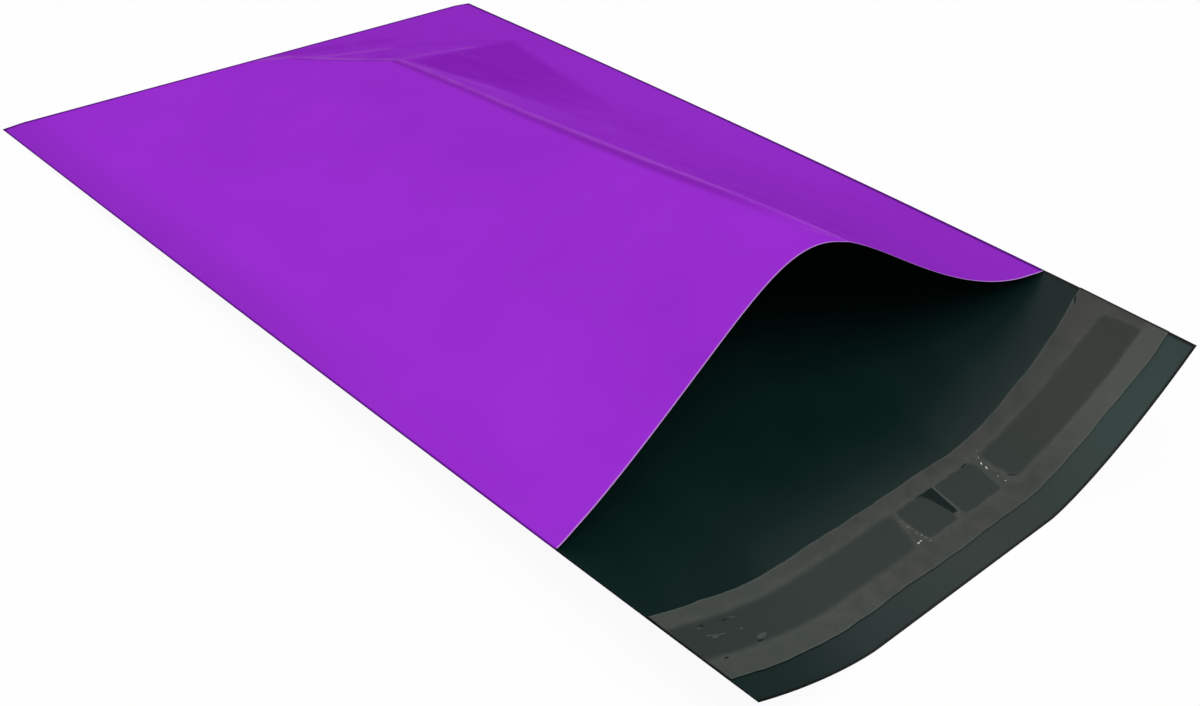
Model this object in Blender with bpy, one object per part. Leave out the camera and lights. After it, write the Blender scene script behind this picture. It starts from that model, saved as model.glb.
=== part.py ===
"""Poly mailer bag lying on its back with its mouth open.

One web of film is folded across the bottom, its two sides are sealed together up to the
mouth, and the back runs on past the mouth as a flap. The flap carries a line of adhesive
under a release liner. X runs across the bag, +Y points to the folded bottom, +Z is up,
and the origin is under the middle of the bag, on the surface that it lies on.

Two measures place a point on the film. "Along" is the film's length from the bottom fold,
and "across" runs from 0 at the left side seal to 1 at the right one.
"""

import math

import bmesh
import bpy

# Film and bag, in metres
BAG_WIDTH = 0.2286
FRONT_LENGTH = 0.3085
MOUTH_SKEW = 0.0135
FLAP_LENGTH = 0.0595
FILM_THICKNESS = 0.00006
FOLD_GAP = 0.0008
SEAL_RUN = 0.008

# How the back lies: flat in the middle, with both side seals curled up towards the flap
LEFT_SEAL_RISE = 0.0177
RIGHT_SEAL_RISE = 0.0416
LEFT_CURL_WIDTH = 0.060
RIGHT_CURL_WIDTH = 0.078
LEFT_CURL_POWER = 1.43
RIGHT_CURL_POWER = 1.42

# How the front stands: a ridge from the Y of creases near the fold to the peak of the mouth
PEAK_RISE = 0.0585
PEAK_FROM_LEFT = 0.1180
PEAK_ROUNDING = 0.0207
CREASE_Y_LENGTH = 0.0424
CREASE_Y_FROM_LEFT = 0.1536
CREASE_Y_RISE = 0.0049
CREASE_ROUNDING = 0.0006
FOLD_CREASE_FROM_LEFT = 0.1072
LEFT_FACE_POWER = 1.19
RIGHT_FACE_POWER = 1.79
FRONT_PULL_BACK = 0.39

# Release liner on the flap, between a bare lip and the mouth
LIP_WIDTH = 0.0100
LINER_WIDTH = 0.0290
LINER_FLARE = 0.0058
LINER_THICKNESS = 0.00005

# Adhesive under the liner: a long band, two short pads with a wedge between, a long band
ADHESIVE_INSET = 0.0065
ADHESIVE_WIDTH = 0.0140
ADHESIVE_THICKNESS = 0.00008
ADHESIVE_CORNER = 0.0025
CORNER_SEGMENTS = 3
LEFT_BARE_MARGIN = 0.0015
RIGHT_BARE_MARGIN = 0.0040
WEDGE_FROM_LEFT = 0.1281
WEDGE_WIDE = 0.0072
WEDGE_NARROW = 0.0028
LEFT_PAD_WIDTH = 0.0184
RIGHT_PAD_WIDTH = 0.0263
JOINT_GAP = 0.0008
LAYER_CLEARANCE = 0.0001

# How finely the film is divided
LEFT_COLUMNS = 11
RIGHT_COLUMNS = 13
CREASE_ROWS = 4
FRONT_ROWS = 20
BEND_ROWS = 4
FLAP_ROWS = 5
CURL_STEPS = 24
SEAL_MERGE = 0.000001
STEEPEST = 0.98
SHARP_ANGLE = math.radians(30)

# Sizes that follow from the ones above
BACK_LENGTH = FRONT_LENGTH + FLAP_LENGTH
LINER_END = BACK_LENGTH - LIP_WIDTH
LINER_START = LINER_END - LINER_WIDTH
ADHESIVE_START = LINER_START + ADHESIVE_INSET
ADHESIVE_END = ADHESIVE_START + ADHESIVE_WIDTH
LEFT_MARGIN_PLACE = LEFT_BARE_MARGIN / BAG_WIDTH
RIGHT_MARGIN_PLACE = 1 - RIGHT_BARE_MARGIN / BAG_WIDTH
PEAK_PLACE = PEAK_FROM_LEFT / BAG_WIDTH
CREASE_Y_PLACE = CREASE_Y_FROM_LEFT / BAG_WIDTH
FOLD_CREASE_PLACE = FOLD_CREASE_FROM_LEFT / BAG_WIDTH
COLUMNS = LEFT_COLUMNS + RIGHT_COLUMNS
POUCH_ROWS = CREASE_ROWS + FRONT_ROWS
WEB_ROWS = FLAP_ROWS + POUCH_ROWS + BEND_ROWS + POUCH_ROWS


def mix(first, second, share):
    return first + (second - first) * share


def curl(rise, width, power, reach):
    """How high and how far out a curled side is, at a film distance past the curl's foot."""
    if reach <= 0:
        return 0.0, 0.0
    step = reach / CURL_STEPS
    run = 0.0
    for index in range(CURL_STEPS):
        share = (index + 0.5) * step / width
        slope = min(rise * power / width * share ** (power - 1), STEEPEST)
        run += math.sqrt(1 - slope * slope) * step
    return rise * (reach / width) ** power, run


def back_point(across, along):
    """A point of the back's underside. The film keeps its width, so a curl draws its seal in."""
    share = along / BACK_LENGTH
    distance = across * BAG_WIDTH
    left_foot = LEFT_CURL_WIDTH
    right_foot = BAG_WIDTH - RIGHT_CURL_WIDTH
    left_rise, left_run = curl(
        LEFT_SEAL_RISE * share, LEFT_CURL_WIDTH, LEFT_CURL_POWER, left_foot - distance
    )
    right_rise, right_run = curl(
        RIGHT_SEAL_RISE * share, RIGHT_CURL_WIDTH, RIGHT_CURL_POWER, distance - right_foot
    )
    flat = min(max(distance, left_foot), right_foot)
    return flat - left_run + right_run - BAG_WIDTH / 2, -along, left_rise + right_rise


def mouth_along(across):
    """Film from the fold to the edge of the mouth, which is cut a little off square."""
    return FRONT_LENGTH - MOUTH_SKEW * (1 - across)


def layer_gap(across):
    """Space between back and front along the fold, closing to nothing at both side seals."""
    from_seal = min(across, 1 - across) * BAG_WIDTH
    return FOLD_GAP * min(1.0, from_seal / SEAL_RUN)


def ridge(across, along):
    """The front's ridge at this length: its place, rise and rounding, and the share of its way."""
    if along < CREASE_Y_LENGTH:
        share = along / CREASE_Y_LENGTH
        place = mix(FOLD_CREASE_PLACE, CREASE_Y_PLACE, share)
        rise = CREASE_Y_RISE * share * place / CREASE_Y_PLACE
        return place, rise, CREASE_ROUNDING * share, 0.0
    share = (along - CREASE_Y_LENGTH) / (mouth_along(across) - CREASE_Y_LENGTH)
    place = mix(CREASE_Y_PLACE, PEAK_PLACE, share)
    rise = mix(CREASE_Y_RISE, PEAK_RISE, share)
    return place, rise, mix(CREASE_ROUNDING, PEAK_ROUNDING, share), share


def tent_height(across, along):
    """Rise of the front above the line between its seals: two faces meet in a softened ridge."""
    if across <= 0 or across >= 1 or along <= 0:
        return 0.0
    place, rise, rounding, share = ridge(across, along)
    left = rise * (across / place) ** mix(1, LEFT_FACE_POWER, share)
    right = rise * ((1 - across) / (1 - place)) ** mix(1, RIGHT_FACE_POWER, share)
    softening = math.log(1 + math.exp(-abs(left - right) / rounding))
    return min(left, right) - rounding * softening


def front_point(across, along):
    """A point of the front's outer face, hung between the seals and pulled back where it rises."""
    share = along / mouth_along(across)
    left_x, _, left_z = back_point(0, share * mouth_along(0))
    right_x, _, right_z = back_point(1, share * mouth_along(1))
    tent = tent_height(across, along)
    gap = layer_gap(across)
    setback = max(along, gap / 2)
    height = mix(left_z, right_z, across) + tent + gap
    return mix(left_x, right_x, across), FRONT_PULL_BACK * tent - setback, height


def fold_point(across, turn):
    """A point of the bend at the bottom, as it turns from the back (0) to the front (1)."""
    radius = layer_gap(across) / 2
    angle = math.pi * (turn - 0.5)
    x, _, z = back_point(across, 0)
    return x, radius * (math.cos(angle) - 1), z + radius * (1 + math.sin(angle))


def column_place(column, crease):
    """Place across of one of the film's columns, one of which follows the crease."""
    if column == 0:
        return 0.0
    if column == COLUMNS:
        return 1.0
    if column <= LEFT_COLUMNS:
        return mix(LEFT_MARGIN_PLACE, crease, (column - 1) / (LEFT_COLUMNS - 1))
    return mix(crease, RIGHT_MARGIN_PLACE, (column - LEFT_COLUMNS) / (RIGHT_COLUMNS - 1))


def back_columns():
    return [column_place(column, FOLD_CREASE_PLACE) for column in range(COLUMNS + 1)]


def pouch_along(row, across):
    """Film from the fold to one of the rows that back and front share, the last at the mouth."""
    if row <= CREASE_ROWS:
        return CREASE_Y_LENGTH * row / CREASE_ROWS
    return mix(CREASE_Y_LENGTH, mouth_along(across), (row - CREASE_ROWS) / FRONT_ROWS)


def liner_start(across):
    """The liner's edge on the mouth's side, which flares where the right side curls up."""
    curled = max(0.0, 1 - (1 - across) * BAG_WIDTH / RIGHT_CURL_WIDTH)
    return LINER_START - LINER_FLARE * curled**2


def flap_along(row, across):
    """Film from the fold to one of the flap's rows: its end, the liner's and adhesive's edges."""
    rows = (BACK_LENGTH, LINER_END, ADHESIVE_END, ADHESIVE_START, liner_start(across))
    return rows[row]


def film_point(column, row):
    """A point of the web: from the flap's end along the back, round the fold and up the front."""
    across = column_place(column, FOLD_CREASE_PLACE)
    if row < FLAP_ROWS:
        return back_point(across, flap_along(row, across))
    row -= FLAP_ROWS
    if row < POUCH_ROWS:
        return back_point(across, pouch_along(POUCH_ROWS - row, across))
    row -= POUCH_ROWS
    if row < BEND_ROWS:
        return fold_point(across, row / BEND_ROWS)
    row -= BEND_ROWS
    crease = ridge(across, pouch_along(row, across))[0]
    across = column_place(column, crease)
    return front_point(across, pouch_along(row, across))


def on_back(across, along):
    """A point under the back as its columns divide it, on the straight between two of them."""
    places = back_columns()
    for left, right in zip(places, places[1:]):
        if left <= across <= right:
            share = (across - left) / (right - left)
            ends = zip(back_point(left, along), back_point(right, along))
            return tuple(mix(first, last, share) for first, last in ends)


def clear_scene():
    for item in list(bpy.data.objects):
        bpy.data.objects.remove(item)


def make_material(name, color, roughness):
    material = bpy.data.materials.new(name)
    material.use_nodes = True
    shader = material.node_tree.nodes["Principled BSDF"]
    shader.inputs["Base Color"].default_value = (*color, 1)
    shader.inputs["Roughness"].default_value = roughness
    shader.inputs["Metallic"].default_value = 0
    return material


def shaped_grid(columns, rows, point):
    """A grid of this many columns and rows of faces, with each of its corners moved in place."""
    grid = bmesh.new()
    bmesh.ops.create_grid(grid, x_segments=columns, y_segments=rows, size=0.5)
    for vertex in grid.verts:
        column = round((vertex.co.x + 0.5) * columns)
        row = round((vertex.co.y + 0.5) * rows)
        vertex.co = point(column, row)
    return grid


def add_sheet(name, grid, thickness, materials, parent):
    """An object of one thin sheet, thickened on the side that its faces look to."""
    mesh = bpy.data.meshes.new(name)
    grid.to_mesh(mesh)
    grid.free()
    mesh.shade_smooth()
    mesh.set_sharp_from_angle(angle=SHARP_ANGLE)
    for material in materials:
        mesh.materials.append(material)
    sheet = bpy.data.objects.new(name, mesh)
    bpy.context.scene.collection.objects.link(sheet)
    sheet.parent = parent
    solid = sheet.modifiers.new("Thickness", "SOLIDIFY")
    solid.thickness = thickness
    solid.offset = 1
    solid.use_even_offset = True
    solid.material_offset = len(materials) - 1
    return sheet


def add_film_bag(parent):
    """The bag itself: one web, folded at the bottom and sealed up both sides to the mouth."""
    web = shaped_grid(COLUMNS, WEB_ROWS, film_point)
    bmesh.ops.remove_doubles(web, verts=web.verts, dist=SEAL_MERGE)
    inside = make_material("black_film_inside", (0.004, 0.009, 0.009), 0.45)
    outside = make_material("purple_film_outside", (0.314, 0.025, 0.591), 0.42)
    add_sheet("film_bag", web, FILM_THICKNESS, (inside, outside), parent)


def laid_on_flap(places, edges, lift):
    """A sheet on the flap: the places of its columns on each edge, and how far along each edge is."""

    def laid_point(column, row):
        across = places[column][row]
        return on_back(across, edges[row](across))

    strip = shaped_grid(len(places) - 1, len(edges) - 1, laid_point)
    strip.normal_update()
    for vertex in strip.verts:
        vertex.co += vertex.normal * lift
    return strip


def round_flat_corners(strip, lift):
    """Rounds a strip's corners where it lies flat. Where the film curls, they stay on its facets."""
    corners = [vertex for vertex in strip.verts if len(vertex.link_edges) == 2]
    flat = [vertex for vertex in corners if vertex.co.z < lift + ADHESIVE_THICKNESS]
    bmesh.ops.bevel(
        strip,
        geom=flat,
        offset=ADHESIVE_CORNER,
        segments=CORNER_SEGMENTS,
        profile=0.5,
        affect="VERTICES",
    )


def add_adhesive(name, left_end, right_end, material, parent):
    """A stretch of adhesive. Each end is its place on the flap's side and on the mouth's side."""
    low, high = max(left_end) + SEAL_MERGE, min(right_end) - SEAL_MERGE
    places = [left_end]
    places += [(place, place) for place in back_columns() if low < place < high]
    places.append(right_end)
    edges = (lambda across: ADHESIVE_END, lambda across: ADHESIVE_START)
    lift = FILM_THICKNESS + LAYER_CLEARANCE
    strip = laid_on_flap(places, edges, lift)
    round_flat_corners(strip, lift)
    add_sheet(name, strip, ADHESIVE_THICKNESS, (material,), parent)


def add_adhesives(parent):
    """The line of adhesive, which is broken three times: at two joints and at the wedge."""

    def place(from_left):
        return from_left / BAG_WIDTH

    material = make_material("clear_adhesive", (0.038, 0.046, 0.043), 0.35)
    left_joint = WEDGE_FROM_LEFT - LEFT_PAD_WIDTH
    right_joint = WEDGE_FROM_LEFT + RIGHT_PAD_WIDTH
    half_gap = JOINT_GAP / 2
    wedge_widths = (WEDGE_NARROW, WEDGE_WIDE)
    wedge_left = tuple(place(WEDGE_FROM_LEFT - width / 2) for width in wedge_widths)
    wedge_right = tuple(place(WEDGE_FROM_LEFT + width / 2) for width in wedge_widths)
    band_left = (place(left_joint - half_gap),) * 2
    pad_left = (place(left_joint + half_gap),) * 2
    pad_right = (place(right_joint - half_gap),) * 2
    band_right = (place(right_joint + half_gap),) * 2
    first = (LEFT_MARGIN_PLACE,) * 2
    last = (RIGHT_MARGIN_PLACE,) * 2
    add_adhesive("adhesive_band_left", first, band_left, material, parent)
    add_adhesive("adhesive_pad_left", pad_left, wedge_left, material, parent)
    add_adhesive("adhesive_pad_right", wedge_right, pad_right, material, parent)
    add_adhesive("adhesive_band_right", band_right, last, material, parent)


def add_release_liner(parent):
    """The release liner: a strip over the adhesive, cut flush with both sides of the flap."""
    material = make_material("frosted_release_liner", (0.068, 0.074, 0.068), 0.5)
    places = [(place,) * 4 for place in back_columns()]
    edges = (
        lambda across: LINER_END,
        lambda across: ADHESIVE_END,
        lambda across: ADHESIVE_START,
        liner_start,
    )
    lift = FILM_THICKNESS + LAYER_CLEARANCE + ADHESIVE_THICKNESS + LAYER_CLEARANCE
    strip = laid_on_flap(places, edges, lift)
    add_sheet("release_liner", strip, LINER_THICKNESS, (material,), parent)


def main():
    clear_scene()
    bag = bpy.data.objects.new("poly_mailer", None)
    bag.location = (0, BACK_LENGTH / 2, 0)
    bpy.context.scene.collection.objects.link(bag)
    add_film_bag(bag)
    add_adhesives(bag)
    add_release_liner(bag)


main()
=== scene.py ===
# %% [markdown]
# # An open poly mailer on a white table
#
# A poly mailer is one web of thin polyethylene film. It is folded across the bottom, sealed
# up both sides, and its back runs on past the mouth as a flap with a strip of adhesive under
# a release liner. The solids that this script loads have its true size and its main forms.
# Here the same surface is drawn again with many more faces, so that it can carry the soft
# folds of the film, and then it gets its colours, its sheen and its small marks.
#
# The solids stay where they are. Each new piece takes the place of one of them.

# %% The frame
import math
from functools import lru_cache

import bmesh
import bpy
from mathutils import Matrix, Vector, noise


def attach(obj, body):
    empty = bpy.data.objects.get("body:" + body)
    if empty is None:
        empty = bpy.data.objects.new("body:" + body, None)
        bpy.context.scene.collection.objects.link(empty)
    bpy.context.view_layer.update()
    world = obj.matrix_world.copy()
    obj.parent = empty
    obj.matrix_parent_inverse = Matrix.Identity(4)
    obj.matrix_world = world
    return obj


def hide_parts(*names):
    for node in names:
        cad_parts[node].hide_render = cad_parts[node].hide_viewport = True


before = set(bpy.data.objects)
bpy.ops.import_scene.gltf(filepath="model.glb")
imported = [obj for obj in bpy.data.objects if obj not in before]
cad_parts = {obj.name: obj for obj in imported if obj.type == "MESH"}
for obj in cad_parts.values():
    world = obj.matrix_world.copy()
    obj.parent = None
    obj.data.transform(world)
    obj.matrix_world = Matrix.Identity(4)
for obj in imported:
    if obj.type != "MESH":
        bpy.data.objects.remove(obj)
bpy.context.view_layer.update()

print("solids:", sorted(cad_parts))

# %% [markdown]
# ## The sizes of the bag
#
# All lengths are in metres. Two measures place a point on the film, as they would on the flat
# web before it was folded: "across" from 0 at the left side seal to 1 at the right one, and
# "along", the length of film from the bottom fold. A pattern that is laid out in these two
# measures follows the film wherever it curls.

# %% Sizes
BAG_WIDTH = 0.2286
FRONT_LENGTH = 0.3085
MOUTH_SKEW = 0.0135
BACK_LENGTH = 0.3680
FILM_THICKNESS = 0.00006
FOLD_GAP = 0.0008
SEAL_RUN = 0.008

LEFT_SEAL_RISE, RIGHT_SEAL_RISE = 0.0177, 0.0416
LEFT_CURL_WIDTH, RIGHT_CURL_WIDTH = 0.060, 0.078
LEFT_CURL_POWER, RIGHT_CURL_POWER = 1.43, 1.42

PEAK_RISE, PEAK_PLACE, PEAK_ROUNDING = 0.0585, 0.1180 / BAG_WIDTH, 0.0207
CREASE_Y_LENGTH, CREASE_Y_PLACE, CREASE_Y_RISE = 0.0424, 0.1536 / BAG_WIDTH, 0.0049
CREASE_ROUNDING = 0.0006
FOLD_CREASE_PLACE = 0.1072 / BAG_WIDTH
LEFT_FACE_POWER, RIGHT_FACE_POWER = 1.19, 1.79
FRONT_PULL_BACK = 0.39

LINER_START, LINER_END, LINER_FLARE = 0.3290, 0.3580, 0.0058
LINER_THICKNESS = 0.00005
ADHESIVE_START, ADHESIVE_END = 0.3355, 0.3495
ADHESIVE_THICKNESS = 0.00008
LAYER_CLEARANCE = 0.0001

print("flat web:", BAG_WIDTH, "by", BACK_LENGTH + FRONT_LENGTH)

# %% [markdown]
# ## The shape of the film
#
# Film bends easily but hardly stretches. So the back is made by bending alone: its middle lies
# flat, and both of its sides curl up, more and more towards the flap. A curl keeps the width
# of the film, which is why the seals come closer together there. The front hangs between the
# two seals and stands up in a ridge. A cloth simulation could find a shape like this, but not
# this very one, so the formulas that the solids were made with are used again.


# %% Shape of the back
CURL_STEPS = 24
STEEPEST_SLOPE = 0.98


def mix(first, second, share):
    return first + (second - first) * share


def curl(rise, width, power, reach):
    """How high and how far out a curled side is, at a film distance past the curl's foot."""
    if reach <= 0:
        return 0.0, 0.0
    run = 0.0
    for index in range(CURL_STEPS):
        share = (index + 0.5) * reach / CURL_STEPS / width
        slope = min(rise * power / width * share ** (power - 1), STEEPEST_SLOPE)
        run += math.sqrt(1 - slope * slope) * reach / CURL_STEPS
    return rise * (reach / width) ** power, run


@lru_cache(maxsize=None)
def back_point(across, along):
    """A point of the back's underside."""
    share = along / BACK_LENGTH
    distance = across * BAG_WIDTH
    left_foot, right_foot = LEFT_CURL_WIDTH, BAG_WIDTH - RIGHT_CURL_WIDTH
    left_rise, left_run = curl(
        LEFT_SEAL_RISE * share, LEFT_CURL_WIDTH, LEFT_CURL_POWER, left_foot - distance
    )
    right_rise, right_run = curl(
        RIGHT_SEAL_RISE * share, RIGHT_CURL_WIDTH, RIGHT_CURL_POWER, distance - right_foot
    )
    flat = min(max(distance, left_foot), right_foot)
    x = flat - left_run + right_run - BAG_WIDTH / 2
    return Vector((x, BACK_LENGTH / 2 - along, left_rise + right_rise))


print("flap's corners:", back_point(0, BACK_LENGTH), back_point(1, BACK_LENGTH))


# %% Shape of the front
def mouth_along(across):
    return FRONT_LENGTH - MOUTH_SKEW * (1 - across)


def layer_gap(across):
    from_seal = min(across, 1 - across) * BAG_WIDTH
    return FOLD_GAP * min(1.0, from_seal / SEAL_RUN)


def ridge(across, along):
    """The ridge at this length: its place, rise and rounding, and the share of its way."""
    if along < CREASE_Y_LENGTH:
        share = along / CREASE_Y_LENGTH
        place = mix(FOLD_CREASE_PLACE, CREASE_Y_PLACE, share)
        rise = CREASE_Y_RISE * share * place / CREASE_Y_PLACE
        return place, rise, CREASE_ROUNDING * share, 0.0
    share = (along - CREASE_Y_LENGTH) / (mouth_along(across) - CREASE_Y_LENGTH)
    place = mix(CREASE_Y_PLACE, PEAK_PLACE, share)
    rise = mix(CREASE_Y_RISE, PEAK_RISE, share)
    return place, rise, mix(CREASE_ROUNDING, PEAK_ROUNDING, share), share


def tent_height(across, along):
    """Rise of the front above the line between its seals."""
    if across <= 0 or across >= 1 or along <= 0:
        return 0.0
    place, rise, rounding, share = ridge(across, along)
    left = rise * (across / place) ** mix(1, LEFT_FACE_POWER, share)
    right = rise * ((1 - across) / (1 - place)) ** mix(1, RIGHT_FACE_POWER, share)
    softening = math.log(1 + math.exp(-abs(left - right) / rounding))
    return min(left, right) - rounding * softening


def front_point(across, along):
    """A point of the front's outer face."""
    share = along / mouth_along(across)
    left = back_point(0, share * mouth_along(0))
    right = back_point(1, share * mouth_along(1))
    tent = tent_height(across, along)
    gap = layer_gap(across)
    y = BACK_LENGTH / 2 + FRONT_PULL_BACK * tent - max(along, gap / 2)
    return Vector((mix(left.x, right.x, across), y, mix(left.z, right.z, across) + tent + gap))


def fold_point(across, turn):
    """A point of the bend at the bottom, as it turns from the back (0) to the front (1)."""
    radius = layer_gap(across) / 2
    angle = math.pi * (turn - 0.5)
    foot = back_point(across, 0)
    return foot + Vector((0, radius * (math.cos(angle) - 1), radius * (1 + math.sin(angle))))


print("peak of the mouth:", front_point(PEAK_PLACE, mouth_along(PEAK_PLACE)))

# %% [markdown]
# ## Folds and waves
#
# The bag was packed flat and folded over, and then opened again. That left one long crease up
# the front and two short ones that part from it near the bottom, in the shape of a Y. Each is
# kept as a short list of places on the flat film, in millimetres across and along. The long
# crease doesn't quite follow the top of the arch, so it has a list of its own. It could be
# sculpted by hand, but from a list the shape and the colours find it at the same place.
#
# The film between creases is never quite flat. Slow waves of a few tenths of a millimetre, from
# a noise that is the same in every run, give it the uneven sheen of real film.

# %% Folds
MILLIMETRE = 0.001
LONG_CREASE = ((153.6, 42.4), (144.4, 107.0), (140.6, 134.0), (133.4, 212.0), (129.0, 303.0))
FOLD_CREST_RISE = 0.00045
FOLD_CREST_WIDTH = 0.0016
FOLD_DIP = 0.00035
FOLD_DIP_OFFSET = 0.0042
FOLD_DIP_WIDTH = 0.0026
FOLD_AT_MOUTH, MOUTH_FADE = 0.3, 0.030
WAVE_HEIGHT = 0.00045
WAVE_LENGTH, WAVE_STRETCH = 0.055, 1.6
WAVE_SLICE = 0.37  # which flat slice of the noise is read
WAVE_MARGIN = 0.020


def crease_across(along):
    """Where the long crease is at this length, in metres from the left seal."""
    points = [(0.0, FOLD_CREASE_PLACE * BAG_WIDTH / MILLIMETRE), *((s, x) for x, s in LONG_CREASE)]
    for (start, first), (end, last) in zip(points, points[1:]):
        if along <= end * MILLIMETRE:
            break
    share = (along / MILLIMETRE - start) / (end - start)
    return mix(first, last, min(share, 1.0)) * MILLIMETRE


def fold_relief(across, along):
    """The crest of the long crease, and the shallow dip on its left.

    Both start half way up to the fork, and are full as far again past it.
    """
    if along < CREASE_Y_LENGTH / 2:
        return 0.0
    off = across * BAG_WIDTH - crease_across(along)
    grown = min(1.0, along / CREASE_Y_LENGTH - 0.5)
    faded = min(1.0, max(0.0, (mouth_along(across) - along) / MOUTH_FADE))
    crest = FOLD_CREST_RISE * math.exp(-abs(off) / FOLD_CREST_WIDTH)
    dip = FOLD_DIP * math.exp(-(((off + FOLD_DIP_OFFSET) / FOLD_DIP_WIDTH) ** 2))
    return (crest - dip) * grown * mix(FOLD_AT_MOUTH, 1.0, faded)


def slow_waves(across, along, free):
    """Waves of the film, which die out towards whatever holds it."""
    x, y = across * BAG_WIDTH / WAVE_LENGTH, along / WAVE_LENGTH / WAVE_STRETCH
    return WAVE_HEIGHT * noise.noise(Vector((x, y, WAVE_SLICE))) * min(1.0, free / WAVE_MARGIN)


print("crease at the mouth, from the left:", round(crease_across(FRONT_LENGTH), 4))

# %% [markdown]
# ## The film
#
# The whole web is one grid. Its rows run from the end of the flap along the back, round the
# bottom fold and up the front to the mouth, and its columns run from seal to seal. Building it
# from one grid, instead of from two separate panels, keeps the fold a real fold. The first and
# last columns of the front fall on those of the back, and merging them makes the side seals.
# Solidify then gives the film its thickness, with a black inside and a purple outside.
#
# A UV map in metres and a distance to the cut edge are stored with the grid, for the materials.

# %% A grid of film
UV_NAME = "film_metres"
EDGE_NAME = "from_cut_edge"


def film_grid(columns, rows, place_on_film, point):
    """A grid whose corners are moved to their points, with the film's flat places as its UV map."""
    grid = bmesh.new()
    # a square of side 1 round the origin, so that its places are shares of columns and rows
    bmesh.ops.create_grid(grid, x_segments=columns, y_segments=rows, size=0.5)
    flat_map = grid.loops.layers.uv.new(UV_NAME)
    from_edge = grid.verts.layers.float.new(EDGE_NAME)
    flat = {}
    for vertex in grid.verts:
        column = round((vertex.co.x + 0.5) * columns)
        row = round((vertex.co.y + 0.5) * rows)
        across, along, to_edge = place_on_film(column, row)
        flat[vertex.index] = (across * BAG_WIDTH, along)
        vertex[from_edge] = to_edge
        vertex.co = point(column, row)
    for face in grid.faces:
        for loop in face.loops:
            loop[flat_map].uv = flat[loop.vert.index]
    return grid


# %% A sheet with its thickness
SHARP_ANGLE = 50


def finished_sheet(name, grid, thickness, materials):
    """An object of the grid, with its thickness on the side that its faces look to.

    The last of the materials goes on that side and on the cut edges. The thickness is made
    final at once, so that the edges that it makes can be marked sharp.
    """
    mesh = bpy.data.meshes.new(name)
    grid.to_mesh(mesh)
    grid.free()
    mesh.shade_smooth()
    for material in materials:
        mesh.materials.append(material)
    sheet = bpy.data.objects.new(name, mesh)
    bpy.context.scene.collection.objects.link(sheet)
    solid = sheet.modifiers.new("Thickness", "SOLIDIFY")
    solid.thickness = thickness
    solid.offset = 1
    solid.use_even_offset = True
    solid.material_offset = len(materials) - 1
    solid.material_offset_rim = len(materials) - 1
    seen = sheet.evaluated_get(bpy.context.evaluated_depsgraph_get())
    sheet.data = bpy.data.meshes.new_from_object(seen)
    sheet.modifiers.clear()
    sheet.data.set_sharp_from_angle(angle=math.radians(SHARP_ANGLE))
    print(name, len(sheet.data.polygons), "faces")
    return sheet


# %% Rows and columns of the web
LEFT_COLUMNS, RIGHT_COLUMNS = 62, 60
FLAP_ROWS, POUCH_ROWS, BEND_ROWS = 26, 96, 6
MERGE_DISTANCE = 0.000001
HELD_MARGIN = 0.006
FAR_FROM_CUT = 1.0
COLUMNS = LEFT_COLUMNS + RIGHT_COLUMNS
WEB_ROWS = FLAP_ROWS + POUCH_ROWS + BEND_ROWS + POUCH_ROWS


def column_across(column, crease):
    if column <= LEFT_COLUMNS:
        return crease * column / LEFT_COLUMNS
    return mix(crease, 1.0, (column - LEFT_COLUMNS) / RIGHT_COLUMNS)


def web_place(column, row):
    """Which part of the web this row is on, with its place across and along."""
    across = column_across(column, FOLD_CREASE_PLACE)
    if row < FLAP_ROWS:
        return "back", across, mix(BACK_LENGTH, mouth_along(across), row / FLAP_ROWS)
    row -= FLAP_ROWS
    if row < POUCH_ROWS:
        return "back", across, mouth_along(across) * (1 - row / POUCH_ROWS)
    row -= POUCH_ROWS
    if row < BEND_ROWS:
        return "bend", across, row / BEND_ROWS
    row -= BEND_ROWS
    # on the front, the middle column follows the long crease
    along = mouth_along(across) * row / POUCH_ROWS
    across = column_across(column, crease_across(along) / BAG_WIDTH)
    return "front", across, mouth_along(across) * row / POUCH_ROWS


def web_flat(column, row):
    """The web's flat place. The front counts on past the fold, and the back counts down to it."""
    part, across, along = web_place(column, row)
    if part == "front":
        return across, along, mouth_along(across) - along
    return across, -along if part == "back" else 0.0, FAR_FROM_CUT


def web_point(column, row):
    part, across, along = web_place(column, row)
    if part == "back":
        return back_point(across, along)
    if part == "bend":
        return fold_point(across, along)
    held = min(across, 1 - across) * BAG_WIDTH
    relief = fold_relief(across, along) + slow_waves(across, along, min(held, along))
    return front_point(across, along) + Vector((0, 0, relief * min(1.0, held / HELD_MARGIN)))


web = film_grid(COLUMNS, WEB_ROWS, web_flat, web_point)
bmesh.ops.remove_doubles(web, verts=web.verts, dist=MERGE_DISTANCE)
print("web:", len(web.verts), "corners after its side seals are merged")

# %% [markdown]
# ## The liner and the adhesive
#
# The release liner is a thin frosted strip, cut by machine and laid over the adhesive, so its
# edges wander by a few tenths of a millimetre and it doesn't lie dead flat. Both it and the
# adhesive are laid on the flap by moving points of the back along the film's own normal. A
# Shrinkwrap modifier would lay them on too, but this keeps their thin gaps exact.


# %% Laying a strip on the flap
NORMAL_STEP = 0.0005


def on_flap(across, along, lift):
    """A point above the back, moved out along the film's normal."""
    left = back_point(max(across - NORMAL_STEP, 0.0), along)
    right = back_point(min(across + NORMAL_STEP, 1.0), along)
    nearer = back_point(across, along - NORMAL_STEP * BAG_WIDTH)
    further = back_point(across, along + NORMAL_STEP * BAG_WIDTH)
    normal = (right - left).cross(nearer - further).normalized()
    return back_point(across, along) + normal * lift


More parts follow.
